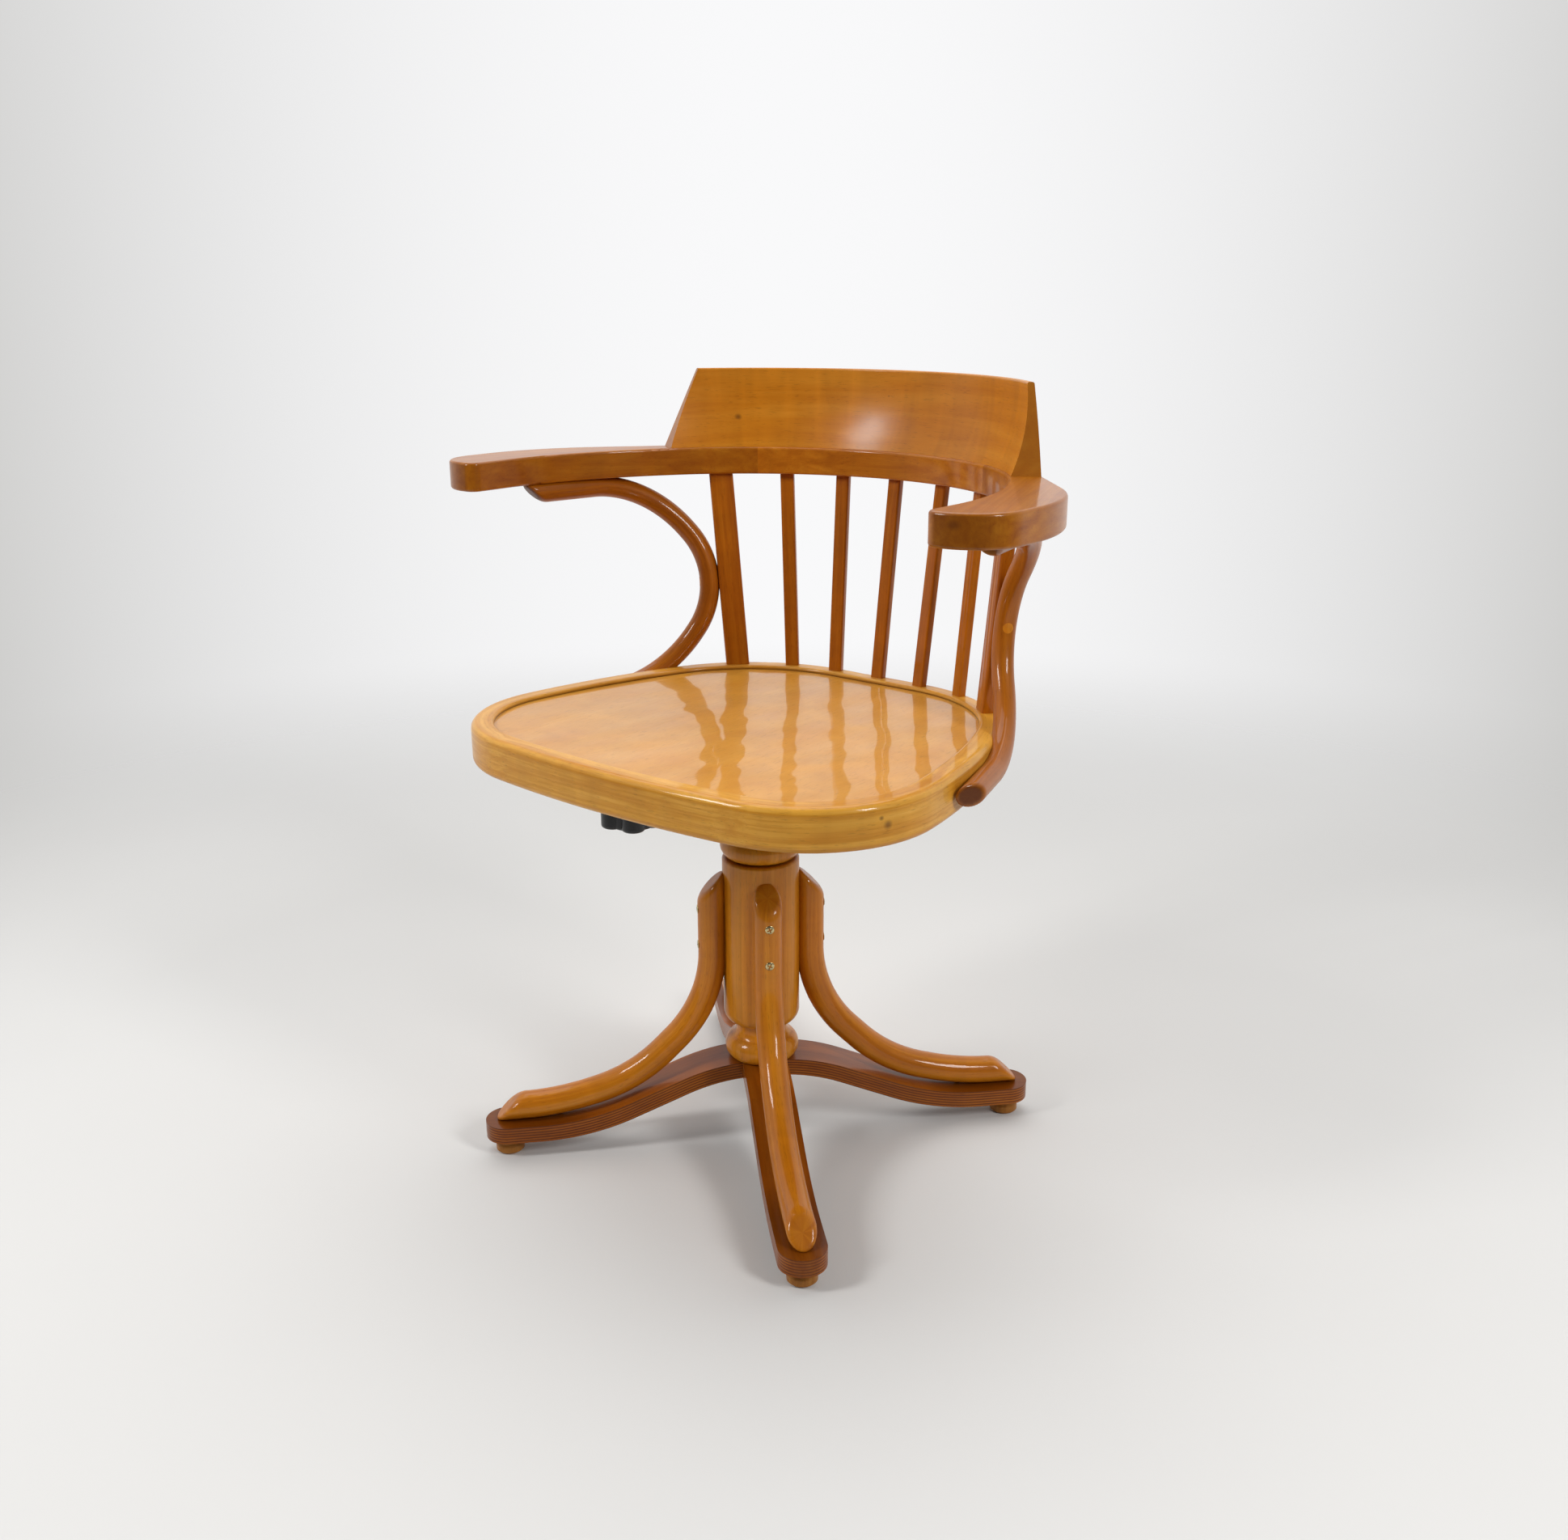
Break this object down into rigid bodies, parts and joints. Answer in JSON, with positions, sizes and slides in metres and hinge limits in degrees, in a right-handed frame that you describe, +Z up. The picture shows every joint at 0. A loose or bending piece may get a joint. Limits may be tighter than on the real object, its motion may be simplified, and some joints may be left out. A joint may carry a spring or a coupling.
{
  "type": "bentwood desk chair",
  "caption": "Bentwood swivel desk chair: cross base with bent legs, turned column with height spindle, inset seat, spindle back, flat arms on bent braces and a tilt tension knob.",
  "frame": {"origin": "on the floor, under the middle of the plan view's box; the swivel axis stands 11.4 mm towards -Y", "axes": "+Z up along the column, the seat's front towards -Y, the sitter's left towards +X"},
  "size_m": [0.6642, 0.4772, 0.788],
  "materials": {
    "seat_beech": "glossy clear lacquer",
    "seat_ply": "high gloss clear lacquer",
    "beech": "glossy amber lacquer",
    "bent_beech": "glossy brown lacquer",
    "laminated_beech": "glossy lacquer over visible laminations",
    "steel": "zinc plated",
    "cast_steel": "black painted casting",
    "pressed_steel": "black paint",
    "screw_brass": "yellow passivated",
    "nylon": "natural nylon",
    "rubber": "matte",
    "black_plastic": "satin moulded"
  },
  "bodies": {
    "base": {"base_bar_lower": "laminated_beech", "base_bar_upper": "laminated_beech", "foot_1": "beech", "foot_2": "beech", "foot_3": "beech", "foot_4": "beech", "leg_1": "bent_beech", "leg_2": "bent_beech", "leg_3": "bent_beech", "leg_4": "bent_beech", "column": "beech", "foot_screws": "screw_brass", "leg_bar_screws": "screw_brass", "leg_column_screws": "screw_brass", "tie_bolt": "steel", "tie_washer": "steel", "spindle_nut": "cast_steel", "nut_screws": "screw_brass"},
    "lock_ring": {"lock_ring": "beech", "lock_ring_insert": "cast_steel"},
    "spindle": {"spindle": "steel", "spindle_stop": "steel", "stop_screw": "steel", "thrust_washer": "nylon", "hub_washer": "steel", "hub_nut": "steel"},
    "swivel": {"swivel_hub": "cast_steel", "tilt_pin": "steel", "pin_clips": "steel", "torsion_rubbers": "rubber"},
    "seat": {"tilt_plate": "pressed_steel", "plate_screws": "steel", "tension_arm": "pressed_steel", "tension_screw": "steel", "seat_rim": "seat_beech", "seat_panel": "seat_ply", "seat_batten_front": "beech", "seat_batten_back": "beech", "batten_screws": "screw_brass", "post_left": "beech", "post_right": "beech", "slat_1": "beech", "slat_2": "beech", "slat_3": "beech", "slat_4": "beech", "slat_5": "beech", "arm_left": "beech", "arm_right": "beech", "back_rail": "beech", "arm_dowels": "beech", "crest": "beech", "crest_screws": "screw_brass", "brace_left": "bent_beech", "brace_right": "bent_beech", "brace_plugs": "bent_beech", "brace_screws": "screw_brass"},
    "knob": {"tension_knob": "black_plastic", "knob_insert": "steel"}
  },
  "joints": [
    {"name": "lock_ring_turn", "type": "hinge", "parent": "base", "child": "lock_ring", "pos_m": [0, -0.0114, 0.331], "axis": [0, 0, 1], "range_deg": [-180, 180]},
    {"name": "seat_height", "type": "slide", "parent": "base", "child": "spindle", "axis": [0, 0, 1], "range_m": [0, 0.1]},
    {"name": "seat_swivel", "type": "hinge", "parent": "spindle", "child": "swivel", "pos_m": [0, -0.0114, 0.373], "axis": [0, 0, 1], "continuous": true},
    {"name": "seat_tilt", "type": "hinge", "parent": "swivel", "child": "seat", "pos_m": [0, -0.0114, 0.4145], "axis": [-1, 0, 0], "range_deg": [0, 10], "stiffness_Nm_per_rad": 80, "springref_deg": -22.92},
    {"name": "tension_knob_turn", "type": "hinge", "parent": "seat", "child": "knob", "pos_m": [0, -0.1954, 0.4145], "axis": [0, 0, 1], "continuous": true}
  ]
}
